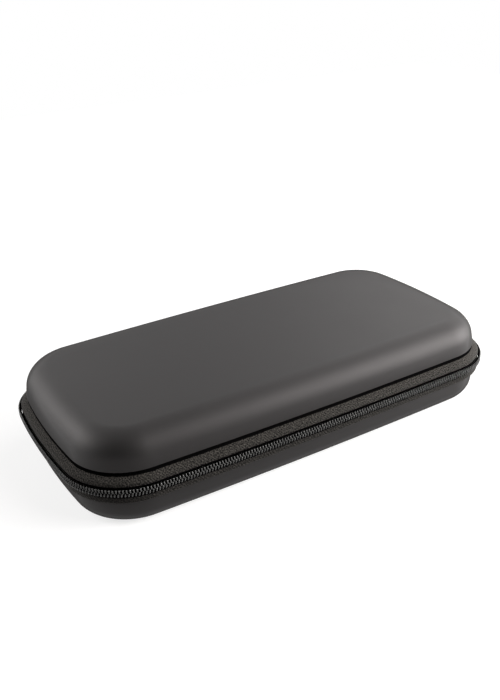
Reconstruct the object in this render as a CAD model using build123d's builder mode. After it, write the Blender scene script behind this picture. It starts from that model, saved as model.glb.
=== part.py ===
"""Hard-shell zip case for a handheld game console.

Two pressed trays, the base and the lid, meet at a coil zip that runs round the front and both ends.
Along the back a strip of fabric takes the zip's place and is the lid's hinge. The origin is on the
table under the middle of the case, with +X to the right, the front at -Y and +Z up.
"""
import os
from math import atan2, degrees, hypot, radians, sin, sqrt

from build123d import *

# Plan outline at the lid's seam, which all other outlines are offset from
seam_length = 221.6
seam_width = 111.0
corner_radius = 28.1
long_side_bow = 1.8
short_side_bow = 4.6

# Shells
wall = 4.0
base_height = 13.9
base_step = 0.9
base_draft = 3.2
base_edge_radius = 8.6
lid_height = 15.8
lid_draft = 9.3
lid_edge_radius = 12.5
deepest_round_share = 0.9

# Zip tapes: heights from the plane where the two coils meet, and how far in they are sewn to a rim
lower_tape_height = 8.0
upper_tape_height = 6.3
tape_reach = 3.4
tape_thickness = 1.0
tape_tuck = 1.4
tape_lap = 2.0

# Coils
turn_pitch = 1.48
turns_per_ridge = 3
ridge_height = 0.7
coil_depth = 1.5
coil_width = 2.35
coil_gap = 0.7

# Hinge strip along the back, from its left end to the slider's parking place
hinge_left = 84.0
sewing_gap = 0.3

# Ribbons that cover the raw rims inside
binding_thickness = 1.0
binding_overhang = 1.8
binding_gap = 0.2

# Net pocket across the lid, with an elastic hem along its mouth at the front
net_thickness = 0.8
net_gap = 0.5
hem_width = 7.0
hem_thickness = 1.8
pocket_mouth = 12.0

# Slider: an outer and an inner wing, joined by a web that parts the two coils
slider_length = 9.0
slider_clearance = 0.35
wing_width = 8.4
wing_tail_width = 6.4
wing_thickness = 1.1
wing_chamfer = 1.2
flange_thickness = 1.0
flange_gap = 0.5
inner_wing_width = 3.8
inner_wing_thickness = 1.0
web_thickness = 0.4
web_length = 4.0
park_clearance = 0.8

# Bail on the slider, and the pull whose pin turns under it
bail_length = 6.6
bail_width = 1.8
bail_thickness = 1.0
bail_opening = 1.5
bail_chamfer = 1.0
pull_clearance = 0.35
pull_thickness = 1.2
pull_arm_width = 1.2
pull_loop_length = 4.8
pull_length = 19.0
pull_width = 6.5
pull_chamfer = 1.6

# Heights above the table
zip_z = base_height + lower_tape_height
lid_seam_z = zip_z + upper_tape_height
coil_top_z = zip_z + coil_gap / 2 + coil_width
lid_top_z = lid_seam_z + lid_height

# Arcs of the plan: long arcs for the sides and ends, each centred across the case from its own side
side_radius = ((seam_length / 2) ** 2 + long_side_bow**2) / (2 * long_side_bow)
end_radius = ((seam_width / 2) ** 2 + short_side_bow**2) / (2 * short_side_bow)
side_centre = side_radius - seam_width / 2 - long_side_bow
end_centre = end_radius - seam_length / 2 - short_side_bow

# The corner circle touches a side and an end from within, so its centre is where two circles cross
from_side = side_radius - corner_radius
from_end = end_radius - corner_radius
centre_span = hypot(side_centre, end_centre)
along_span = (from_side**2 - from_end**2 + centre_span**2) / (2 * centre_span)
across_span = sqrt(from_side**2 - along_span**2)
corner_centre = Vector(
    (across_span * side_centre - along_span * end_centre) / centre_span,
    (across_span * end_centre + along_span * side_centre) / centre_span - side_centre,
)
side_turn = degrees(atan2(corner_centre.X, corner_centre.Y + side_centre))
end_turn = degrees(atan2(corner_centre.Y, corner_centre.X + end_centre))

os.makedirs("parts", exist_ok=True)


def seam_outline(grow):
    """Plan outline with bowed sides and round corners, grown outwards from the lid's seam."""
    with BuildSketch() as plan:
        with BuildLine():
            CenterArc(
                (corner_centre.X, corner_centre.Y),
                corner_radius + grow,
                end_turn,
                90 - side_turn - end_turn,
            )
            mirror(about=Plane.YZ)
            CenterArc((0, -side_centre), side_radius + grow, 90 - side_turn, 2 * side_turn)
            mirror(about=Plane.XZ)
            right_end = CenterArc((-end_centre, 0), end_radius + grow, -end_turn, 2 * end_turn)
            mirror(right_end, about=Plane.YZ)
        make_face()
    return plan.sketch


def tray(rim, grow, height, draft, edge_radius):
    """Pressed shell on a rim plane: drafted walls, a large round outside and a splayed corner inside.

    The splay touches the round that an even wall would have, so the wall stays nearly even.
    """
    outline = seam_outline(grow)
    cavity = seam_outline(grow - wall)
    inwards = Axis(rim.origin, rim.z_dir)
    deepest_round = deepest_round_share * height / (1 - sin(radians(draft)))
    outer_radius = min(edge_radius, deepest_round)
    with BuildPart() as shell:
        with BuildSketch(rim):
            add(outline)
        extrude(amount=height, taper=draft)
        fillet(shell.faces().sort_by(inwards)[-1].edges(), outer_radius)
        with BuildSketch(rim):
            add(cavity)
        extrude(amount=height - wall, taper=draft, mode=Mode.SUBTRACT)
        floor = shell.faces().filter_by(Plane.XY).sort_by(inwards)[-2]
        chamfer(floor.edges(), (2 - sqrt(2)) * (outer_radius - wall))
    return shell


base_rim = Plane(origin=(0, 0, base_height), z_dir=(0, 0, -1))
base_shell = tray(base_rim, base_step, base_height, base_draft, base_edge_radius)
base_shell.part.label = "base_shell"
export_step(base_shell.part, "parts/base_shell.step")

lid_rim = Plane.XY.offset(lid_seam_z)
lid_shell = tray(lid_rim, 0, lid_height, lid_draft, lid_edge_radius)
lid_shell.part.label = "lid_shell"
export_step(lid_shell.part, "parts/lid_shell.step")

# Angles about the rear right corner, which the slider runs round, where it parks and stops
zip_radius = corner_radius + tape_reach
park_turn = degrees((slider_length / 2 + park_clearance) / zip_radius)
park_angle = 90 - side_turn - park_turn
chain_end_angle = park_angle - park_turn
slider_travel = chain_end_angle - end_turn

# Plan of the stretch along the back where fabric takes the zip's place
far = seam_length + seam_width
chain_end = corner_centre + Vector(far, 0).rotate(Axis.Z, chain_end_angle)
with BuildSketch() as hinge_zone:
    with BuildLine():
        Polyline(
            (corner_centre.X, corner_centre.Y),
            (chain_end.X, chain_end.Y),
            (-hinge_left, chain_end.Y),
            (-hinge_left, corner_centre.Y),
            close=True,
        )
    make_face()
with BuildSketch() as hinge_plan:
    add(hinge_zone.sketch)
    offset(amount=-sewing_gap)

# Section across the seam, with X outwards and Y up, and the path that it follows
tape_path = seam_outline(0).wire()
path_start = tape_path @ 0
path_heading = tape_path % 0
tape_section = Plane(
    origin=path_start, x_dir=path_heading.cross(Vector(0, 0, 1)), z_dir=-path_heading
)

# Corners of the tapes in that section
upper_sewn = (-tape_lap, lid_seam_z)
upper_top = (tape_reach, coil_top_z)
upper_edge = (tape_reach, zip_z + coil_gap / 2)
lower_edge = (tape_reach, zip_z - coil_gap / 2)
lower_bend = (tape_reach, base_height + tape_tuck)
lower_sewn = (base_step - tape_lap, base_height)

# Upper tape: sewn under the lid's rim, flared out and then upright behind its coil
with BuildPart() as upper_zip_tape:
    with BuildSketch(tape_section):
        with BuildLine():
            Polyline(upper_sewn, upper_top, upper_edge)
            offset(amount=tape_thickness, side=Side.RIGHT)
        make_face()
    sweep(path=tape_path)
    with BuildSketch():
        add(hinge_zone.sketch)
    extrude(amount=lid_top_z, mode=Mode.SUBTRACT)
upper_zip_tape.part.label = "upper_zip_tape"
export_step(upper_zip_tape.part, "parts/upper_zip_tape.step")

# Lower tape: upright behind its coil, then tucked in and sewn on the base's rim
with BuildPart() as lower_zip_tape:
    with BuildSketch(tape_section):
        with BuildLine():
            Polyline(lower_edge, lower_bend, lower_sewn)
            offset(amount=tape_thickness, side=Side.RIGHT)
        make_face()
    sweep(path=tape_path)
    with BuildSketch():
        add(hinge_zone.sketch)
    extrude(amount=lid_top_z, mode=Mode.SUBTRACT)
lower_zip_tape.part.label = "lower_zip_tape"
export_step(lower_zip_tape.part, "parts/lower_zip_tape.step")

# Hinge strip: one band from rim to rim, slit where the parked slider's web stands
with BuildPart() as hinge_strip:
    with BuildSketch(tape_section):
        with BuildLine():
            Polyline(upper_sewn, upper_top, lower_bend, lower_sewn)
            offset(amount=tape_thickness, side=Side.RIGHT)
        make_face()
    sweep(path=tape_path)
    with BuildSketch():
        add(hinge_plan.sketch)
    extrude(amount=lid_top_z, mode=Mode.INTERSECT)
    with BuildSketch(Plane.XY.offset(zip_z - coil_gap / 2)):
        with Locations((corner_centre.X, corner_centre.Y)):
            Rectangle(far, far, align=(Align.MIN, Align.MIN))
    extrude(amount=coil_gap, mode=Mode.SUBTRACT)
hinge_strip.part.label = "hinge_strip"
export_step(hinge_strip.part, "parts/hinge_strip.step")

# Coils: ridges for the turns of the nylon spiral, on a plain back that is sewn to the tape
coil_back = seam_outline(tape_reach)
coil_root_path = seam_outline(tape_reach + coil_depth - ridge_height).wire()
ridges = round(coil_root_path.length / (turn_pitch * turns_per_ridge))
coil_edge = []
for ridge in range(ridges):
    root_at = ridge / ridges
    crest_at = (ridge + 0.5) / ridges
    outwards = (coil_root_path % crest_at).cross(Vector(0, 0, 1))
    coil_edge.append(coil_root_path @ root_at)
    coil_edge.append((coil_root_path @ crest_at) + outwards * ridge_height)

with BuildSketch() as coil_plan:
    with BuildLine():
        Polyline(*coil_edge, close=True)
    make_face()
    add(coil_back, mode=Mode.SUBTRACT)
    add(hinge_zone.sketch, mode=Mode.SUBTRACT)

with BuildPart() as upper_zip_coil:
    with BuildSketch(Plane.XY.offset(zip_z + coil_gap / 2)):
        add(coil_plan.sketch)
    extrude(amount=coil_width)
upper_zip_coil.part.label = "upper_zip_coil"
export_step(upper_zip_coil.part, "parts/upper_zip_coil.step")

with BuildPart() as lower_zip_coil:
    with BuildSketch(Plane.XY.offset(zip_z - coil_gap / 2 - coil_width)):
        add(coil_plan.sketch)
    extrude(amount=coil_width)
lower_zip_coil.part.label = "lower_zip_coil"
export_step(lower_zip_coil.part, "parts/lower_zip_coil.step")


def rim_binding(rim, grow, tape_run, tape_drop):
    """Flat ribbon on a rim, from the sewn edge of a sloping tape to an overhang inside the wall."""
    tape_corner = tape_thickness * tape_drop / hypot(tape_run, tape_drop)
    outer = seam_outline(grow - tape_lap - tape_corner - binding_gap)
    inner = seam_outline(grow - wall - binding_overhang)
    with BuildPart() as binding:
        with BuildSketch(rim):
            add(outer)
            add(inner, mode=Mode.SUBTRACT)
        extrude(amount=-binding_thickness)
    return binding


lower_run = lower_bend[0] - lower_sewn[0]
lower_rim_binding = rim_binding(base_rim, base_step, lower_run, tape_tuck)
lower_rim_binding.part.label = "lower_rim_binding"
export_step(lower_rim_binding.part, "parts/lower_rim_binding.step")

upper_run = upper_top[0] - upper_sewn[0]
upper_rim_binding = rim_binding(lid_rim, 0, upper_run, lid_seam_z - coil_top_z)
upper_rim_binding.part.label = "upper_rim_binding"
export_step(upper_rim_binding.part, "parts/upper_rim_binding.step")

# Net pocket: a sheet across the lid on its ribbon's overhang, open along the front
net_outline = seam_outline(-wall - net_gap)
pocket_front = -seam_width / 2 + wall + pocket_mouth
with BuildPart() as lid_pocket_hem:
    with BuildSketch(lid_rim):
        add(net_outline)
        with Locations((0, pocket_front)):
            Rectangle(far, hem_width, align=(Align.CENTER, Align.MIN), mode=Mode.INTERSECT)
    extrude(amount=hem_thickness)
lid_pocket_hem.part.label = "lid_pocket_hem"
export_step(lid_pocket_hem.part, "parts/lid_pocket_hem.step")

with BuildPart() as lid_pocket_net:
    with BuildSketch(lid_rim):
        add(net_outline)
        with Locations((0, pocket_front + hem_width)):
            Rectangle(far, far, align=(Align.CENTER, Align.MIN), mode=Mode.INTERSECT)
    extrude(amount=net_thickness)
lid_pocket_net.part.label = "lid_pocket_net"
export_step(lid_pocket_net.part, "parts/lid_pocket_net.step")

# Radii of the slider's faces about the corner that it runs round
wing_inner_radius = zip_radius + coil_depth + slider_clearance
wing_outer_radius = wing_inner_radius + wing_thickness
flange_radius = zip_radius + flange_gap
inner_wing_radius = zip_radius - tape_thickness - slider_clearance
slider_turn = degrees(slider_length / zip_radius)
web_turn = degrees(web_length / zip_radius)

# Planes at the parked slider: along the zip with Y outwards, and facing outwards with Y up
park_axis = Axis((corner_centre.X, corner_centre.Y, zip_z), (0, 0, 1))
park_outwards = Vector(1, 0).rotate(Axis.Z, park_angle)
park_backwards = Vector(0, 1).rotate(Axis.Z, park_angle)
park_plan = Plane(origin=park_axis.position, x_dir=-park_backwards, z_dir=(0, 0, 1))
park_face = Plane(origin=park_axis.position, x_dir=park_backwards, z_dir=park_outwards)


def slider_section(angle):
    """Upright plane through the corner's axis, with X outwards and Y up, at an angle about it."""
    outwards = Vector(1, 0).rotate(Axis.Z, angle)
    return Plane(origin=park_axis.position, x_dir=outwards, z_dir=outwards.cross(Vector(0, 0, 1)))


with BuildPart() as zip_slider:
    # Outer wing with a flange on each long edge, turned about the corner
    with BuildSketch(slider_section(park_angle - slider_turn / 2)):
        with Locations((flange_radius, 0)):
            Rectangle(wing_outer_radius - flange_radius, wing_width, align=(Align.MIN, Align.CENTER))
        with Locations((flange_radius, 0)):
            Rectangle(
                wing_inner_radius - flange_radius,
                wing_width - 2 * flange_thickness,
                align=(Align.MIN, Align.CENTER),
                mode=Mode.SUBTRACT,
            )
    revolve(axis=park_axis, revolution_arc=slider_turn)
    # Shield outline, broad at the shoulder and narrow at the tail
    with BuildSketch(park_face) as shield:
        with BuildLine():
            Polyline(
                (slider_length / 2, wing_width / 2),
                (0, wing_width / 2),
                (-slider_length / 2, wing_tail_width / 2),
                (-slider_length / 2, -wing_tail_width / 2),
                (0, -wing_width / 2),
                (slider_length / 2, -wing_width / 2),
                close=True,
            )
        make_face()
        chamfer(shield.vertices().group_by(Axis((0, 0, 0), park_backwards))[-1], wing_chamfer)
    extrude(amount=wing_outer_radius + wing_thickness, mode=Mode.INTERSECT)
    # Web at the shoulder and the inner wing
    with BuildSketch(slider_section(park_angle + slider_turn / 2 - web_turn)):
        with Locations((inner_wing_radius, 0)):
            Rectangle(
                wing_inner_radius - inner_wing_radius + wing_thickness / 2,
                web_thickness,
                align=(Align.MIN, Align.CENTER),
            )
    revolve(axis=park_axis, revolution_arc=web_turn)
    with BuildSketch(slider_section(park_angle - slider_turn / 2)):
        with Locations((inner_wing_radius, 0)):
            Rectangle(inner_wing_thickness, inner_wing_width, align=(Align.MAX, Align.CENTER))
    revolve(axis=park_axis, revolution_arc=slider_turn)
    # Bail
    with BuildSketch(park_plan) as bail:
        with Locations((0, wing_outer_radius - wing_thickness / 2)):
            Rectangle(
                bail_length,
                wing_thickness / 2 + bail_opening + bail_thickness,
                align=(Align.CENTER, Align.MIN),
            )
        chamfer(bail.vertices().group_by(Axis.Y)[-1], bail_chamfer)
        with Locations((0, wing_outer_radius)):
            Rectangle(
                bail_length - 2 * bail_thickness,
                bail_opening,
                align=(Align.CENTER, Align.MIN),
                mode=Mode.SUBTRACT,
            )
    extrude(amount=bail_width / 2, both=True)
zip_slider.part.label = "zip_slider"
export_step(zip_slider.part, "parts/zip_slider.step")

# Pull: a tab with a loop whose pin turns under the bail, lying along the back
pin_radius = wing_outer_radius + bail_opening / 2
loop_width = bail_width + 2 * pull_clearance
pull_plane = park_face.offset(pin_radius)
with BuildPart() as pull_tab:
    with BuildSketch(pull_plane) as tab:
        with BuildLine():
            Polyline(
                (0, loop_width / 2 + pull_arm_width),
                (pull_loop_length, loop_width / 2 + pull_arm_width),
                (pull_length, pull_width / 2),
                (pull_length, -pull_width / 2),
                (pull_loop_length, -loop_width / 2 - pull_arm_width),
                (0, -loop_width / 2 - pull_arm_width),
                close=True,
            )
        make_face()
        chamfer(tab.vertices().group_by(Axis.X)[-1], pull_chamfer)
        Rectangle(pull_loop_length, loop_width, align=(Align.MIN, Align.CENTER), mode=Mode.SUBTRACT)
    extrude(amount=pull_thickness / 2, both=True)
    with BuildSketch(park_plan.offset(-loop_width / 2 - pull_arm_width)):
        with Locations((0, pin_radius)):
            Circle(pull_thickness / 2)
    extrude(amount=loop_width + 2 * pull_arm_width)
pull_tab.part.label = "pull_tab"
export_step(pull_tab.part, "parts/pull_tab.step")

pull_axis = park_axis.position + park_outwards * pin_radius
print(f"slider axis x {corner_centre.X:.3f} y {corner_centre.Y:.3f}, travel {slider_travel:.2f} degrees")
print(f"pull axis x {pull_axis.X:.3f} y {pull_axis.Y:.3f}, zip plane z {zip_z:.2f}, top {lid_top_z:.2f}")
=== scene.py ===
"""A hard-shell zip case for a handheld console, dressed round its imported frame.

All lengths are metres in the frame's own axes: +X to the right, the front at -Y and +Z up. Only the
points of a section, and the radii of its rounds, are millimetres.
"""
import math

import bmesh
import bpy
from mathutils import Matrix, Vector, noise


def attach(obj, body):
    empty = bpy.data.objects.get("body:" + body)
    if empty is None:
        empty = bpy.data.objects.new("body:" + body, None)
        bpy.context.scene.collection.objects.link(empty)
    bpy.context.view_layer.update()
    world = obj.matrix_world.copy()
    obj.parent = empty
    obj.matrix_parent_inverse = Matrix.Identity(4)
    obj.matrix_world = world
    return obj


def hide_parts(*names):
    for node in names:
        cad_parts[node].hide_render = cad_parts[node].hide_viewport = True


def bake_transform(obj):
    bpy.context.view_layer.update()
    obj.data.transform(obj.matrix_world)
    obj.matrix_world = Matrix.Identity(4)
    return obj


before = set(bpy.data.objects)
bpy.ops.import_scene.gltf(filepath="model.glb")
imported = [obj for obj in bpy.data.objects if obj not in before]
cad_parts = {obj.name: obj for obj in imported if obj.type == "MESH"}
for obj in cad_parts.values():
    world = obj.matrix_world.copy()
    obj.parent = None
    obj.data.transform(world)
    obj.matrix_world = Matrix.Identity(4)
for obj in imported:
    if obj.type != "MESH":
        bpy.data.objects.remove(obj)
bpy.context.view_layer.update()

# Base shell: a tray pressed from foam sheet, skinned outside with soft matt plastic and lined inside
# with brushed knit. Like every band on the case it is drawn as a section (distance out from the lid's
# seam, height) along a straight run, which is then bent round the plan of the case.
mm = 0.001
corner_radius = 28.1 * mm
corner_x = 86.019 * mm
corner_y = 28.106 * mm
side_radius = 3411.08 * mm
end_radius = 337.11 * mm
front_middle = 57.3 * mm
end_middle = 115.4 * mm
coil_middle = 4.15 * mm
hair = 0.01 * mm
side_turn = math.asin(corner_x / (side_radius - corner_radius))
end_turn = math.asin(corner_y / (end_radius - corner_radius))
corner_turn = math.pi / 2 - side_turn - end_turn
half_plan = (
    (Vector((0, side_radius - front_middle)), side_radius, side_turn),
    (Vector((corner_x, -corner_y)), corner_radius, corner_turn),
    (Vector((end_middle - end_radius, 0)), end_radius, 2 * end_turn),
    (Vector((corner_x, corner_y)), corner_radius, corner_turn),
    (Vector((0, front_middle - side_radius)), side_radius, side_turn),
)
arc_lengths = [(radius + coil_middle) * turn for centre, radius, turn in half_plan]
half_loop = sum(arc_lengths)


def beside_seam(run, out, up):
    """The point that far along the seam from the front's middle, that far out from it, at that height."""
    run = (run + half_loop) % (2 * half_loop) - half_loop
    left = abs(run)
    heading = -math.pi / 2
    for (centre, radius, turn), length in zip(half_plan, arc_lengths):
        if left <= length + hair:
            break
        left -= length
        heading += turn
    heading += left / (radius + coil_middle)
    x = centre.x + (radius + out) * math.cos(heading)
    y = centre.y + (radius + out) * math.sin(heading)
    return Vector((math.copysign(x, run), y, up))


def draw_out(bm, section, start, end, closed=False, station=2.0 * mm):
    """A section in millimetres drawn along the straight run, with a UV map of run and girth."""
    girth = bm.verts.layers.float.new("girth")
    corners = [bm.verts.new((start, out * mm, up * mm)) for out, up in section]
    for before, after in zip(corners, corners[1:]):
        bm.edges.new((before, after))
        after[girth] = before[girth] + (after.co - before.co).length
    if closed:
        bm.edges.new((corners[-1], corners[0]))
    steps = max(1, round((end - start) / station))
    bmesh.ops.spin(
        bm, geom=bm.verts[:] + bm.edges[:], cent=(0, 0, 0), axis=(1, 0, 0), angle=0,
        dvec=((end - start) / steps, 0, 0), steps=steps,
    )
    cloth_map = bm.loops.layers.uv.new("run_and_girth")
    for face in bm.faces:
        for loop in face.loops:
            loop[cloth_map].uv = (loop.vert.co.x, loop.vert[girth])


def round_off(bm, corner, radius, turn, segments):
    """Rounds the long edges that run through one corner of the section, which turns by that angle."""
    out, up = corner[0] * mm, corner[1] * mm
    on_corner = [v for v in bm.verts if abs(v.co.y - out) < hair and abs(v.co.z - up) < hair]
    edges = {e for v in on_corner for e in v.link_edges if e.other_vert(v) in set(on_corner)}
    bmesh.ops.bevel(
        bm, geom=list(edges), offset=radius * mm * math.tan(math.radians(turn) / 2),
        offset_type="OFFSET", affect="EDGES", segments=segments, profile=0.5,
        clamp_overlap=False, material=-1,
    )


def bend_round(bm):
    """Bends the straight run round the case and closes it where its two ends meet."""
    for vert in bm.verts:
        vert.co = beside_seam(*vert.co)
    bmesh.ops.remove_doubles(bm, verts=bm.verts[:], dist=hair)


def close_holes(bm):
    """Closes every open loop of edges with one face."""
    bmesh.ops.holes_fill(bm, edges=[e for e in bm.edges if e.is_boundary], sides=0)


def piece_from(bm, name, *finishes):
    """A finished mesh as a smooth-shaded object at the origin."""
    mesh = bpy.data.meshes.new(name)
    for face in bm.faces:
        face.smooth = True
    bm.to_mesh(mesh)
    bm.free()
    for finish in finishes:
        mesh.materials.append(finish)
    piece = bpy.data.objects.new(name, mesh)
    bpy.context.scene.collection.objects.link(piece)
    return piece


def new_finish(name, colour, roughness):
    """A material and its shader, with the values that are the same all over the surface."""
    finish = bpy.data.materials.new(name)
    finish.use_nodes = True
    shader = finish.node_tree.nodes["Principled BSDF"]
    shader.inputs["Base Color"].default_value = (*colour, 1)
    shader.inputs["Roughness"].default_value = roughness
    return finish, shader


def add_node(finish, kind, settings=None, **inputs):
    """A shader node whose inputs are numbers or other nodes' outputs."""
    made = finish.node_tree.nodes.new(kind)
    for key, value in (settings or {}).items():
        setattr(made, key, value)
    for key, value in inputs.items():
        socket = made.inputs[int(key[1:])] if key[1:].isdigit() else made.inputs[key.replace("_", " ")]
        if isinstance(value, bpy.types.NodeSocket):
            finish.node_tree.links.new(value, socket)
        else:
            socket.default_value = value
    return made


def vary(finish, shader, socket, fac, low, high):
    """Drives one of the shader's sockets between two values by a pattern."""
    if isinstance(low, tuple):
        mix = add_node(finish, "ShaderNodeMix", {"data_type": "RGBA"}, i0=fac, i6=(*low, 1), i7=(*high, 1))
        result = mix.outputs[2]
    else:
        mix = add_node(finish, "ShaderNodeMapRange", None, Value=fac, To_Min=low, To_Max=high)
        result = mix.outputs["Result"]
    finish.node_tree.links.new(result, shader.inputs[socket])


def emboss(finish, shader, height, strength, distance):
    """Bump from a pattern, on top of any bump that the shader already has."""
    bump = add_node(finish, "ShaderNodeBump", None, Height=height, Strength=strength, Distance=distance)
    normal = shader.inputs["Normal"]
    if normal.is_linked:
        finish.node_tree.links.new(normal.links[0].from_socket, bump.inputs["Normal"])
    finish.node_tree.links.new(bump.outputs["Normal"], normal)


skin, skin_shader = new_finish("soft_matt_skin", (0.0075, 0.0070, 0.0070), 0.55)
skin_shader.inputs["Specular Tint"].default_value = (1.0, 0.955, 0.957, 1)
skin_shader.inputs["Specular IOR Level"].default_value = 0.3
skin_place = add_node(skin, "ShaderNodeTexCoord").outputs["Object"]
skin_grain = add_node(skin, "ShaderNodeTexNoise", None, Vector=skin_place, Scale=2600.0, Detail=3.0)
skin_cloud = add_node(skin, "ShaderNodeTexNoise", None, Vector=skin_place, Scale=38.0, Detail=4.0)
skin_dark = (0.0060, 0.0056, 0.0056)
skin_pale = (0.0090, 0.0083, 0.0083)
vary(skin, skin_shader, "Base Color", skin_cloud.outputs["Fac"], skin_dark, skin_pale)
skin_facing = add_node(skin, "ShaderNodeLayerWeight", None, Blend=0.5).outputs["Facing"]
skin_edge_on = add_node(
    skin, "ShaderNodeMapRange", None,
    Value=skin_facing, From_Min=0.62, From_Max=0.82, To_Min=0.0, To_Max=0.35,
).outputs["Result"]
skin_patchy = add_node(
    skin, "ShaderNodeMapRange", None, Value=skin_cloud.outputs["Fac"], To_Min=0.52, To_Max=0.58,
).outputs["Result"]
skin_dull = add_node(skin, "ShaderNodeMath", {"operation": "ADD"}, i0=skin_patchy, i1=skin_edge_on)
skin.node_tree.links.new(skin_dull.outputs[0], skin_shader.inputs["Roughness"])
emboss(skin, skin_shader, skin_grain.outputs["Fac"], 0.25, 0.00006)

lining, lining_shader = new_finish("brushed_lining", (0.018, 0.018, 0.019), 0.9)
lining_shader.inputs["Specular IOR Level"].default_value = 0.1
lining_shader.inputs["Sheen Weight"].default_value = 0.12
lining_shader.inputs["Sheen Roughness"].default_value = 0.5
lining_place = add_node(lining, "ShaderNodeTexCoord").outputs["Object"]
lining_pile = add_node(lining, "ShaderNodeTexNoise", None, Vector=lining_place, Scale=1500.0, Detail=4.0)
lining_brush = add_node(lining, "ShaderNodeTexNoise", None, Vector=lining_place, Scale=60.0, Detail=3.0)
lining_dark = (0.013, 0.013, 0.014)
lining_pale = (0.025, 0.025, 0.026)
vary(lining, lining_shader, "Base Color", lining_brush.outputs["Fac"], lining_dark, lining_pale)
emboss(lining, lining_shader, lining_pile.outputs["Fac"], 0.6, 0.0002)

# Painted shade: a near-black finish, with a fine random speckle, put on faces that lie in shade: the rims of
# the trays, the groove under each rim, the tapes behind the coils and the coils' backs.
painted_shade, painted_shade_shader = new_finish("painted_black_shade", (0.002, 0.002, 0.002), 1.0)
painted_shade_shader.inputs["Specular IOR Level"].default_value = 0.0
painted_shade_place = add_node(painted_shade, "ShaderNodeTexCoord").outputs["Object"]
painted_shade_speckle = add_node(painted_shade, "ShaderNodeTexNoise", None, Vector=painted_shade_place, Scale=2500.0, Detail=2.0)
painted_shade_dark = (0.001, 0.001, 0.001)
painted_shade_pale = (0.004, 0.004, 0.004)
vary(painted_shade, painted_shade_shader, "Base Color", painted_shade_speckle.outputs["Fac"], painted_shade_dark, painted_shade_pale)
rim_depth = 0.4 * mm


def pressed_tray(name, section, rounds, outside_up, rim_height):
    """A shell with its two flat panels closed: skin outside, lining inside, the rim faces painted black as
    shade.
    """
    bm = bmesh.new()
    draw_out(bm, section, -half_loop, half_loop)
    for corner, radius, turn, segments in rounds:
        round_off(bm, corner, radius, turn, segments)
    bend_round(bm)
    close_holes(bm)
    bmesh.ops.recalc_face_normals(bm, faces=bm.faces[:])
    for face in bm.faces:
        face.material_index = 0 if (face.normal.z > 0) == outside_up else 1
        # Painted shade: faces at the rim's height get the near-black finish.
        if abs(face.calc_center_median().z - rim_height * mm) < rim_depth:
            face.material_index = 2
    return piece_from(bm, name, skin, lining, painted_shade)


base_draft = 3.2
base_panel_edge = -18.0
base_floor = 4.0
base_rim = 13.9
base_bottom_edge = (0.123, 0.0)
base_rim_outside = (0.9, base_rim)
base_rim_inside = (-3.1, base_rim)
base_floor_edge = (-3.653, base_floor)
base_tray = pressed_tray(
    "base_tray",
    [
        (base_panel_edge, 0.0), base_bottom_edge, base_rim_outside,
        base_rim_inside, base_floor_edge, (base_panel_edge, base_floor),
    ],
    [
        (base_bottom_edge, 8.6, 90 - base_draft, 16),
        (base_floor_edge, 4.6, 90 - base_draft, 8),
        (base_rim_outside, 0.4, 90 + base_draft, 3),
        (base_rim_inside, 0.5, 90 - base_draft, 3),
    ],
    outside_up=False, rim_height=base_rim,
)
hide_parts("base_shell")
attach(base_tray, "base")

# Rim ribbons: flat woven ribbon glued and lock-stitched over each raw foam rim, with the zip's tape
# caught under its outer edge. The stitches are single threads that sink a little into the ribbon.
ribbon, ribbon_shader = new_finish("rim_ribbon", (0.030, 0.030, 0.030), 0.75)
ribbon_shader.inputs["Specular IOR Level"].default_value = 0.15
ribbon_shader.inputs["Sheen Weight"].default_value = 0.08
ribbon_map = add_node(ribbon, "ShaderNodeUVMap", {"uv_map": "run_and_girth"}).outputs["UV"]
ribbon_ribs = add_node(
    ribbon, "ShaderNodeTexWave", {"wave_type": "BANDS", "bands_direction": "X"},
    Vector=ribbon_map, Scale=420.0, Distortion=0.6, Detail=1.0,
)
emboss(ribbon, ribbon_shader, ribbon_ribs.outputs["Fac"], 0.5, 0.00012)
thread, thread_shader = new_finish("sewing_thread", (0.045, 0.045, 0.045), 0.6)
thread_place = add_node(thread, "ShaderNodeTexCoord").outputs["Object"]
thread_fibre = add_node(thread, "ShaderNodeTexNoise", None, Vector=thread_place, Scale=5200.0, Detail=2.0)
thread_dark = (0.034, 0.034, 0.034)
thread_pale = (0.058, 0.058, 0.058)
vary(thread, thread_shader, "Base Color", thread_fibre.outputs["Fac"], thread_dark, thread_pale)
emboss(thread, thread_shader, thread_fibre.outputs["Fac"], 0.4, 0.00005)
ribbon_thickness = 1.0
ribbon_round = 0.3
stitch_pitch = 3.6 * mm
stitch_size = (1.25 * mm, 0.28 * mm, 0.22 * mm)


def stitch_row(bm, start, end, out, up):
    """Stitches along the straight run, each one bead of thread."""
    count = round((end - start) / stitch_pitch)
    for index in range(count):
        bead = bmesh.ops.create_icosphere(bm, subdivisions=2, radius=1.0)["verts"]
        bmesh.ops.scale(bm, vec=stitch_size, verts=bead)
        along = start + (index + 0.5) * (end - start) / count
        bmesh.ops.translate(bm, vec=(along, out * mm, up * mm), verts=bead)


def rim_ribbon(name, node, body, outer, inner, bottom, stitch_up):
    """A closed ring of ribbon with a row of stitches, as one piece."""
    top = bottom + ribbon_thickness
    section = [(outer, bottom), (outer, top), (inner, top), (inner, bottom)]
    bm = bmesh.new()
    draw_out(bm, section, -half_loop, half_loop, closed=True)
    for corner in section:
        round_off(bm, corner, ribbon_round, 90, 3)
    ring_faces = set(bm.faces)
    stitch_row(bm, -half_loop, half_loop, (2 * outer + inner) / 3, stitch_up)
    for face in bm.faces:
        face.material_index = 0 if face in ring_faces else 1
    bend_round(bm)
    bmesh.ops.recalc_face_normals(bm, faces=bm.faces[:])
    piece = piece_from(bm, name, ribbon, thread)
    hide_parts(node)
    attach(piece, body)


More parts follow.
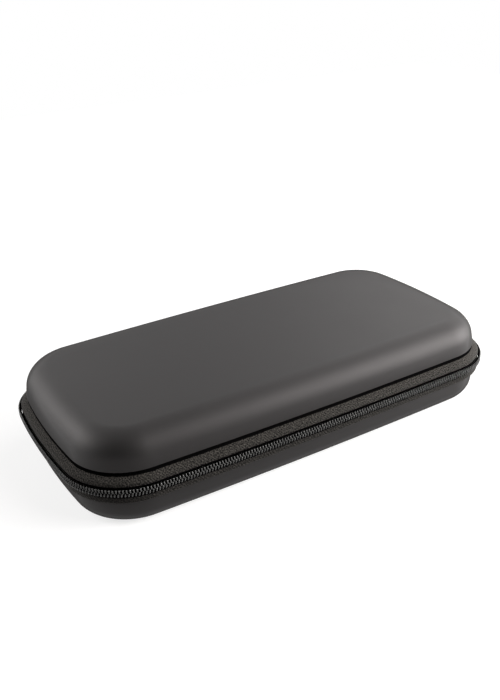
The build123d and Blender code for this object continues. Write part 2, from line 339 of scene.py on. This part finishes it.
rim_ribbon(
    "base_rim_ribbon", "lower_rim_binding", "base",
    outer=-1.6, inner=-4.9, bottom=base_rim, stitch_up=14.9,
)
rim_ribbon(
    "lid_rim_ribbon", "upper_rim_binding", "lid",
    outer=-2.76, inner=-5.8, bottom=27.2, stitch_up=27.2,
)

# Zip tapes: twill-woven polyester, one sewn under each rim, flared out and turned upright behind its
# coil. The weave is too fine to model, so it is in the finish. The finish also has painted shade: the upper
# tape darkens from the lid down to its coil, the lower tape is kept at that darker level all over, and both
# are painted black in the groove under each rim and behind the coil. The cloth itself lies a little uneven.
tape, tape_shader = new_finish("twill_tape", (0.022, 0.021, 0.019), 0.7)
tape_shader.inputs["Specular IOR Level"].default_value = 0.06
tape_shader.inputs["Sheen Weight"].default_value = 0.05
tape_shader.inputs["Sheen Roughness"].default_value = 0.4
tape_map = add_node(tape, "ShaderNodeUVMap", {"uv_map": "run_and_girth"}).outputs["UV"]
tape_turned = add_node(
    tape, "ShaderNodeMapping", None, Vector=tape_map, Rotation=(0, 0, math.radians(38)),
).outputs["Vector"]
tape_twill = add_node(
    tape, "ShaderNodeTexWave", {"wave_type": "BANDS", "bands_direction": "X"},
    Vector=tape_turned, Scale=260.0, Distortion=2.5, Detail=2.0,
).outputs["Fac"]
tape_fuzz = add_node(
    tape, "ShaderNodeTexNoise", None, Vector=tape_map, Scale=1500.0, Detail=3.0,
).outputs["Fac"]
tape_speckle = add_node(
    tape, "ShaderNodeMapRange", None,
    Value=tape_fuzz, From_Min=0.38, From_Max=0.66, To_Min=0.0, To_Max=1.0,
).outputs["Result"]
tape_place = add_node(tape, "ShaderNodeTexCoord").outputs["Object"]
tape_height = add_node(tape, "ShaderNodeSeparateXYZ", None, Vector=tape_place).outputs["Z"]
# Painted shade: the tape's colour is scaled by height, from full at the lid's seam down to 0.55 at the top
# of the coil and below, so the lower tape is darker all over.
tape_painted_shade = add_node(
    tape, "ShaderNodeMapRange", None,
    Value=tape_height, From_Min=23.3 * mm, From_Max=26.4 * mm, To_Min=0.55, To_Max=1.0,
).outputs["Result"]
tape_speckle_and_shade = add_node(tape, "ShaderNodeMath", {"operation": "MULTIPLY"}, i0=tape_speckle, i1=tape_painted_shade)
tape_dark = (0.002, 0.002, 0.002)
tape_pale = (0.072, 0.066, 0.059)
vary(tape, tape_shader, "Base Color", tape_speckle_and_shade.outputs[0], tape_dark, tape_pale)
emboss(tape, tape_shader, tape_twill, 0.5, 0.00025)
emboss(tape, tape_shader, tape_fuzz, 0.6, 0.0004)
tape_thickness = 1.0 * mm
tape_sag = 0.12 * mm
tape_wave = 7.0 * mm
base_seam_height = 14.6
lower_coil_edge = 18.0
upper_coil_edge = 23.3
lid_seam_height = 26.45
base_seam_fold = [(3.4, 17.0), (3.4, 15.8), (3.3, 15.2), (2.9, 14.8), (2.2, 14.5), (-1.1, 13.95)]
lid_seam_fold = [(-2.0, 28.2), (-2.0, 27.1), (-1.2, 26.75), (-0.2, lid_seam_height), (0.8, 25.95)]
chain_end_turn = math.radians(64.04)
hinge_left = 84.0 * mm
right_end = sum(arc_lengths[:3]) + (corner_radius + coil_middle) * chain_end_turn
left_end = half_loop - (side_radius + coil_middle) * math.asin(hinge_left / side_radius)


def unsettle(bm, amount, length):
    """Leaves cloth slightly uneven, by that much over about that length."""
    for vert in bm.verts:
        vert.co.y += amount * noise.noise(vert.co / length)


def paint_black_shade(bm, lit_from, lit_to):
    """Paints black shade, the second finish, on the outer face above and below those heights."""
    bm.normal_update()
    for face in bm.faces:
        height = face.calc_center_median().z / mm
        face.material_index = 1 if face.normal.y > 0 and not lit_from < height < lit_to else 0


def cloth_band(name, section, start, end, lit_from, lit_to):
    """A band of tape as thick as its cloth, drawn from its outer face, painted black as shade in the groove
    under the rim and behind the coil.
    """
    bm = bmesh.new()
    draw_out(bm, section, start, end)
    bmesh.ops.recalc_face_normals(bm, faces=bm.faces[:])
    outwards = sum(face.normal.y for face in bm.faces) > 0
    if not outwards:
        bmesh.ops.reverse_faces(bm, faces=bm.faces[:])
    bmesh.ops.solidify(bm, geom=bm.faces[:], thickness=tape_thickness)
    paint_black_shade(bm, lit_from, lit_to)
    unsettle(bm, tape_sag, tape_wave)
    bend_round(bm)
    bmesh.ops.recalc_face_normals(bm, faces=bm.faces[:])
    return piece_from(bm, name, tape, painted_shade)


lower_tape = cloth_band(
    "lower_tape",
    [(3.2, 21.4), (3.2, 19.0), (3.4, lower_coil_edge)] + base_seam_fold,
    -left_end, right_end, lit_from=base_seam_height, lit_to=lower_coil_edge,
)
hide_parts("lower_zip_tape")
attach(lower_tape, "base")
upper_tape = cloth_band(
    "upper_tape",
    lid_seam_fold + [(1.75, 25.4), (2.6, 24.75), (3.15, 24.05), (3.25, upper_coil_edge), (3.25, 22.4)],
    -left_end, right_end, lit_from=upper_coil_edge, lit_to=lid_seam_height,
)
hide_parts("upper_zip_tape")
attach(upper_tape, "lid")

# Coils: each is one nylon filament wound into a spiral and sewn to its tape. The back half of each spiral
# is painted black as shade. The two are wound in opposite hands, so their turns lean towards each other and
# the heads of one stand between the other's.
nylon, nylon_shader = new_finish("nylon_filament", (0.070, 0.070, 0.070), 0.3)
nylon_shader.inputs["Specular IOR Level"].default_value = 0.25
nylon_place = add_node(nylon, "ShaderNodeTexCoord").outputs["Object"]
nylon_wear = add_node(nylon, "ShaderNodeTexNoise", None, Vector=nylon_place, Scale=700.0, Detail=3.0)
vary(nylon, nylon_shader, "Roughness", nylon_wear.outputs["Fac"], 0.2, 0.36)
nylon_dark = (0.055, 0.055, 0.054)
nylon_pale = (0.090, 0.090, 0.088)
vary(nylon, nylon_shader, "Base Color", nylon_wear.outputs["Fac"], nylon_dark, nylon_pale)
turn_pitch = 1.48 * mm
rings_per_turn = 8
first_turns = 6
filament_sides = 6
filament_radius = 0.35 * mm
turn_radius = 0.41 * mm
turn_stretch = 0.27 * mm
turn_lean = 0.42
turn_front = 0.15 * mm
zip_height = 20.95 * mm
coil_centre_height = 0.86 * mm


def spiral(name, node, body, side):
    """A stretched and leaning spiral along the zip, on the upper side (1) or the lower side (-1)."""
    start = -left_end + turn_pitch
    bm = bmesh.new()
    ring = bmesh.ops.create_circle(bm, segments=filament_sides, radius=filament_radius)["verts"]
    bmesh.ops.translate(bm, vec=(0, turn_radius, 0), verts=ring)
    half_step = Matrix.Rotation(math.pi / rings_per_turn, 3, "X")
    bmesh.ops.rotate(bm, cent=(0, 0, 0), matrix=half_step, verts=ring)
    bmesh.ops.spin(
        bm, geom=bm.verts[:] + bm.edges[:], cent=(0, 0, 0), axis=(1, 0, 0),
        angle=2 * math.pi * first_turns, dvec=(turn_pitch / rings_per_turn, 0, 0),
        steps=first_turns * rings_per_turn,
    )
    length = first_turns * turn_pitch
    while length < right_end - turn_pitch - start:
        wound = bmesh.ops.duplicate(bm, geom=bm.verts[:] + bm.edges[:] + bm.faces[:])["geom"]
        copies = [part for part in wound if isinstance(part, bmesh.types.BMVert)]
        bmesh.ops.translate(bm, vec=(length, 0, 0), verts=copies)
        length *= 2
    bmesh.ops.remove_doubles(bm, verts=bm.verts[:], dist=hair)
    past_end = [vert for vert in bm.verts if vert.co.x > right_end - turn_pitch - start]
    bmesh.ops.delete(bm, geom=past_end, context="VERTS")
    close_holes(bm)
    for face in bm.faces:
        # Painted shade: the back half of the spiral, towards the tape, gets the near-black finish.
        face.material_index = 0 if face.calc_center_median().y > turn_front else 1
    for vert in bm.verts:
        vert.co.z += math.copysign(turn_stretch, vert.co.z)
        vert.co.x -= turn_lean * vert.co.z
        vert.co.x += start + (turn_pitch / 2 if side < 0 else 0)
        vert.co.y += coil_middle
        vert.co.z = zip_height + side * (coil_centre_height + vert.co.z)
    bend_round(bm)
    bmesh.ops.recalc_face_normals(bm, faces=bm.faces[:])
    coil = piece_from(bm, name, nylon, painted_shade)
    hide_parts(node)
    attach(coil, body)


spiral("lower_coil", "lower_zip_coil", "base", -1)
spiral("upper_coil", "upper_zip_coil", "lid", 1)

# Hinge strip: the same twill from rim to rim along the back, where there is no zip. It is slit under the
# slider's parking place.
sewing_gap = 0.3 * mm
fold_height = 21.9 * mm
slit_reach = 0.3 * mm
strip_out = 3.4
row_height = 0.35
strip_section = lid_seam_fold + [(1.7, 25.35), (2.6, 24.85)]
strip_section += [(strip_out, 24.6 - row_height * row) for row in range(1, 7)]
strip_section += [(strip_out, 22.25), (strip_out, 21.55)]
strip_section += [(strip_out, 21.2 - row_height * row) for row in range(0, 7)]
strip_section += base_seam_fold
strip_start = right_end + sewing_gap
strip_end = 2 * half_loop - left_end - sewing_gap
bm = bmesh.new()
draw_out(bm, strip_section, strip_start, strip_end)
slit_end = sum(arc_lengths[:4])
slit = []
for face in bm.faces:
    middle = face.calc_center_median()
    if middle.x < slit_end and abs(middle.z - fold_height) < slit_reach:
        slit.append(face)
bmesh.ops.delete(bm, geom=slit, context="FACES")
bmesh.ops.recalc_face_normals(bm, faces=bm.faces[:])
if sum(face.normal.y for face in bm.faces) < 0:
    bmesh.ops.reverse_faces(bm, faces=bm.faces[:])
bmesh.ops.solidify(bm, geom=bm.faces[:], thickness=tape_thickness)
# Painted shade: the strip's outer face is painted black above the lid's seam and below the base's seam.
paint_black_shade(bm, base_seam_height, lid_seam_height)
bend_round(bm)
bmesh.ops.recalc_face_normals(bm, faces=bm.faces[:])
hinge = piece_from(bm, "hinge_band", tape, painted_shade)
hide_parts("hinge_strip")
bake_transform(hinge)

# Lid shell: pressed from the same skinned and lined sheet as the base, deeper, with more draft and a
# larger round. The upper tape is sewn along its rim.
lid_draft = 9.3
lid_panel_edge = -21.0
lid_rim = 28.2
lid_ceiling = 40.0
lid_top = 44.0
lid_top_edge = (-2.587, lid_top)
lid_rim_outside = (0.0, lid_rim)
lid_rim_inside = (-4.0, lid_rim)
lid_ceiling_edge = (-5.932, lid_ceiling)
lid_tray = pressed_tray(
    "lid_tray",
    [
        (lid_panel_edge, lid_top), lid_top_edge, lid_rim_outside,
        lid_rim_inside, lid_ceiling_edge, (lid_panel_edge, lid_ceiling),
    ],
    [
        (lid_top_edge, 12.5, 90 - lid_draft, 22),
        (lid_ceiling_edge, 8.5, 90 - lid_draft, 10),
        (lid_rim_outside, 0.3, 90 + lid_draft, 3),
        (lid_rim_inside, 0.5, 90 - lid_draft, 3),
    ],
    outside_up=True, rim_height=lid_rim,
)
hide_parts("lid_shell")
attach(lid_tray, "lid")

# Net pocket: an open knitted net stretched across the lid, bound round its edge with ribbon and held
# along its mouth by a gathered elastic hem.
net_finish, net_shader = new_finish("knitted_net", (0.032, 0.032, 0.032), 0.7)
net_shader.inputs["Specular IOR Level"].default_value = 0.15
net_shader.inputs["Sheen Weight"].default_value = 0.08
net_place = add_node(net_finish, "ShaderNodeTexCoord").outputs["Object"]
net_yarn = add_node(net_finish, "ShaderNodeTexNoise", None, Vector=net_place, Scale=4000.0, Detail=2.0)
net_dark = (0.022, 0.022, 0.022)
net_pale = (0.045, 0.045, 0.045)
vary(net_finish, net_shader, "Base Color", net_yarn.outputs["Fac"], net_dark, net_pale)
emboss(net_finish, net_shader, net_yarn.outputs["Fac"], 0.5, 0.0001)
net_cell = 2.0 * mm
net_thread = 0.68 * mm
net_height = 28.6 * mm
net_front = -32.5 * mm
net_edge = -5.2 * mm


def within_plan(x, y, out):
    """Whether a point of the plan is inside the seam grown by that much."""
    across, along = abs(x), abs(y)
    if math.hypot(across, along + side_radius - front_middle) > side_radius + out:
        return False
    if math.hypot(across + end_radius - end_middle, along) > end_radius + out:
        return False
    if across < corner_x or along < corner_y:
        return True
    return math.hypot(across - corner_x, along - corner_y) < corner_radius + out


bm = bmesh.new()
net_reach = 120 * mm
net_count = round(2 * net_reach / net_cell)
bmesh.ops.create_grid(bm, x_segments=net_count, y_segments=net_count, size=net_reach)
bmesh.ops.rotate(bm, cent=(0, 0, 0), matrix=Matrix.Rotation(math.pi / 4, 3, "Z"), verts=bm.verts[:])
bmesh.ops.translate(bm, vec=(0, 0, net_height), verts=bm.verts[:])
outside = [
    vert for vert in bm.verts
    if vert.co.y < net_front - net_cell or not within_plan(vert.co.x, vert.co.y, net_edge)
]
bmesh.ops.delete(bm, geom=outside, context="VERTS")
bmesh.ops.wireframe(
    bm, faces=bm.faces[:], thickness=net_thread, offset=0, use_replace=True, use_boundary=True,
    use_even_offset=True,
)
net = piece_from(bm, "lid_net", net_finish)
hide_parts("lid_pocket_net")
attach(net, "lid")

border_heading = math.radians(-21)
border_start = arc_lengths[0] + (corner_radius + coil_middle) * (border_heading + math.pi / 2 - side_turn)
border_outer = -4.5
border_inner = -8.3
border_top = 29.05
border_round = 0.25
border_section = [
    (border_outer, lid_rim), (border_outer, border_top), (border_inner, border_top), (border_inner, lid_rim),
]
bm = bmesh.new()
draw_out(bm, border_section, border_start, 2 * half_loop - border_start, closed=True)
for corner in border_section:
    round_off(bm, corner, border_round, 90, 2)
close_holes(bm)
bend_round(bm)
bmesh.ops.recalc_face_normals(bm, faces=bm.faces[:])
net_border = piece_from(bm, "lid_net_border", ribbon)
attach(net_border, "lid")

hem_half = 109.2 * mm
hem_back = -32.5
hem_front = -39.5
hem_top = 30.0
hem_round = 0.7
hem_section = [(hem_back, lid_rim), (hem_back, hem_top), (hem_front, hem_top), (hem_front, lid_rim)]
gather_length = 2.6 * mm
gather_depth = 0.22 * mm
gather_drift = 0.8
drift_scale = 120
hem_radius = 23.6 * mm
hem_middle = 29.1 * mm
hem_half_height = 0.9 * mm
bm = bmesh.new()
draw_out(bm, hem_section, -hem_half, hem_half, closed=True, station=0.65 * mm)
for corner in hem_section:
    round_off(bm, corner, hem_round, 90, 3)
close_holes(bm)
bmesh.ops.recalc_face_normals(bm, faces=bm.faces[:])
for vert in bm.verts:
    drift = gather_drift * noise.noise(vert.co * drift_scale) * mm
    wave = math.sin(2 * math.pi * (vert.co.x + drift) / gather_length)
    squeeze = 1 - gather_depth / hem_half_height * (0.5 + 0.5 * wave)
    vert.co.z = hem_middle + (vert.co.z - hem_middle) * squeeze
    end_at = corner_x + math.sqrt(hem_radius**2 - (abs(vert.co.y) - corner_y) ** 2)
    vert.co.x *= end_at / hem_half
hem = piece_from(bm, "lid_net_hem", ribbon)
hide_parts("lid_pocket_hem")
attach(hem, "lid")

# Slider and pull: die-cast zinc under black enamel. The pull's pin turns under the slider's bail, and
# all edges are rounded by tumbling before they are painted.
enamel, enamel_shader = new_finish("black_enamel", (0.020, 0.020, 0.021), 0.3)
enamel_shader.inputs["Coat Weight"].default_value = 0.15
enamel_shader.inputs["Coat Roughness"].default_value = 0.15
enamel_place = add_node(enamel, "ShaderNodeTexCoord").outputs["Object"]
enamel_peel = add_node(enamel, "ShaderNodeTexNoise", None, Vector=enamel_place, Scale=900.0, Detail=2.0)
vary(enamel, enamel_shader, "Roughness", enamel_peel.outputs["Fac"], 0.26, 0.4)
emboss(enamel, enamel_shader, enamel_peel.outputs["Fac"], 0.15, 0.0001)
tumbled_radius = 0.16 * mm
flat_angle = math.radians(1)
sharp_angle = math.radians(25)


def tumbled(name, node, body):
    """The cast form with its facets joined and its edges rounded."""
    bm = bmesh.new()
    bm.from_mesh(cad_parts[node].data)
    bmesh.ops.remove_doubles(bm, verts=bm.verts[:], dist=0.1 * hair)
    bmesh.ops.dissolve_limit(bm, angle_limit=flat_angle, verts=bm.verts[:], edges=bm.edges[:])
    edges = [e for e in bm.edges if e.is_manifold and e.calc_face_angle() > sharp_angle]
    bmesh.ops.bevel(
        bm, geom=edges, offset=tumbled_radius, offset_type="OFFSET", affect="EDGES",
        segments=2, profile=0.5, clamp_overlap=True, material=-1,
    )
    piece = piece_from(bm, name, enamel)
    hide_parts(node)
    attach(piece, body)


tumbled("cast_slider", "zip_slider", "slider")
tumbled("cast_pull", "pull_tab", "pull")

# Studio: a floor and a room that are white to the camera, in mirrors and through glass, with the room's
# mirror image darker behind the camera. Six soft boxes light the case, and the nearest, at the front
# right, lights it most.
floor_finish, floor_shader = new_finish("pale_floor", (0.35, 0.35, 0.35), 0.9)
floor_shader.inputs["Specular IOR Level"].default_value = 0.1


def shows_white(setting):
    """1 for the rays that show the background: the camera's own, mirrored and refracted ones."""
    rays = add_node(setting, "ShaderNodeLightPath").outputs
    both = {"operation": "ADD", "use_clamp": True}
    mirrored = add_node(setting, "ShaderNodeMath", both, i0=rays["Is Camera Ray"], i1=rays["Is Glossy Ray"])
    return add_node(
        setting, "ShaderNodeMath", both, i0=mirrored.outputs[0], i1=rays["Is Transmission Ray"],
    ).outputs[0]


floor_seen = shows_white(floor_finish)
floor_place = add_node(floor_finish, "ShaderNodeTexCoord").outputs["Object"]
floor_reach = add_node(floor_finish, "ShaderNodeVectorMath", {"operation": "LENGTH"}, i0=floor_place)
floor_white = add_node(
    floor_finish, "ShaderNodeMapRange", {"interpolation_type": "SMOOTHSTEP"},
    Value=floor_reach.outputs["Value"], From_Min=0.14, From_Max=0.4, To_Min=0.72, To_Max=1.0,
).outputs["Result"]
floor_glow = add_node(
    floor_finish, "ShaderNodeMath", {"operation": "MULTIPLY"}, i0=floor_seen, i1=floor_white,
)
floor_half = 0.9
floor_shader.inputs["Emission Color"].default_value = (1, 1, 1, 1)
floor_finish.node_tree.links.new(floor_glow.outputs[0], floor_shader.inputs["Emission Strength"])
bm = bmesh.new()
bmesh.ops.create_grid(bm, x_segments=1, y_segments=1, size=floor_half)
floor = piece_from(bm, "floor", floor_finish)

world = bpy.data.worlds.new("studio")
bpy.context.scene.world = world
world.use_nodes = True
sky = world.node_tree.nodes["Background"]
sky.inputs["Color"].default_value = (1, 1, 1, 1)
dark_side = (-0.62, -0.76, 0.20)
ambient = 0.01
sky_way = add_node(world, "ShaderNodeTexCoord").outputs["Generated"]
sky_turn = add_node(world, "ShaderNodeVectorMath", {"operation": "DOT_PRODUCT"}, i0=sky_way, i1=dark_side)
room_level = add_node(
    world, "ShaderNodeMapRange", {"interpolation_type": "SMOOTHSTEP"},
    Value=sky_turn.outputs["Value"], From_Min=0.3, From_Max=0.9, To_Min=1.0, To_Max=0.08,
).outputs["Result"]
sky_mirrored = add_node(
    world, "ShaderNodeMath", {"operation": "MULTIPLY"}, i0=shows_white(world), i1=room_level,
)
sky_direct = add_node(world, "ShaderNodeLightPath").outputs["Is Camera Ray"]
brighter = {"operation": "MAXIMUM"}
sky_level = add_node(world, "ShaderNodeMath", brighter, i0=sky_mirrored.outputs[0], i1=sky_direct)
sky_ambient = add_node(world, "ShaderNodeMath", brighter, i0=sky_level.outputs[0], i1=ambient)
world.node_tree.links.new(sky_ambient.outputs[0], sky.inputs["Strength"])

lamp_colour = (1.0, 0.98, 0.965)
lamp_aim = Vector((0, 0, 30 * mm))


def soft_box(name, heading, rise, reach, width, height, power):
    """An area lamp that faces the case from that heading (from +X towards +Y) and rise, in degrees."""
    lamp = bpy.data.lights.new(name, "AREA")
    lamp.shape = "RECTANGLE"
    lamp.size = width
    lamp.size_y = height
    lamp.energy = power
    lamp.color = lamp_colour
    box = bpy.data.objects.new(name, lamp)
    bpy.context.scene.collection.objects.link(box)
    level_reach = reach * math.cos(math.radians(rise))
    from_case = Vector((
        level_reach * math.cos(math.radians(heading)),
        level_reach * math.sin(math.radians(heading)),
        reach * math.sin(math.radians(rise)),
    ))
    box.location = from_case + lamp_aim
    box.rotation_euler = (-from_case).to_track_quat("-Z", "Y").to_euler()


soft_box("front_right_box", -30, 14, 0.6, 0.45, 0.28, 6.7)
soft_box("front_high_box", -50, 36, 0.95, 0.6, 0.45, 7.5)
soft_box("right_front_box", -15, 40, 0.95, 0.6, 0.45, 1.7)
soft_box("right_high_box", 28, 34, 0.95, 0.6, 0.5, 3.4)
soft_box("back_high_box", 100, 30, 0.95, 0.6, 0.4, 1.0)
soft_box("back_left_box", 145, 24, 0.95, 0.7, 0.5, 8.0)

# Camera: a normal lens at the front left, less than half a metre from the case and above it. It aims at
# the middle of the lid's rim and is rolled and shifted a little.
azimuth = math.radians(-30.48)
elevation = math.radians(27.80)
roll = math.radians(-2.29)
distance = 425.88 * mm
aim = Vector((0, 0, lid_rim * mm))
back = Vector((
    math.sin(azimuth) * math.cos(elevation), -math.cos(azimuth) * math.cos(elevation), math.sin(elevation),
))
level = Vector((math.cos(azimuth), math.sin(azimuth), 0))
upright = back.cross(level)
right = math.cos(roll) * level + math.sin(roll) * upright
up = math.cos(roll) * upright - math.sin(roll) * level
camera_data = bpy.data.cameras.new("camera")
camera_data.lens = 41.756
camera_data.sensor_width = 36.0
camera_data.shift_x = -0.01184
camera_data.shift_y = 0.01661
camera_data.clip_start = 0.01
camera = bpy.data.objects.new("camera", camera_data)
bpy.context.scene.collection.objects.link(camera)
camera_turn = Matrix((right, up, back)).transposed().to_4x4()
camera.matrix_world = Matrix.Translation(aim + back * distance) @ camera_turn
bpy.context.scene.camera = camera
bpy.context.scene.view_settings.view_transform = "Standard"
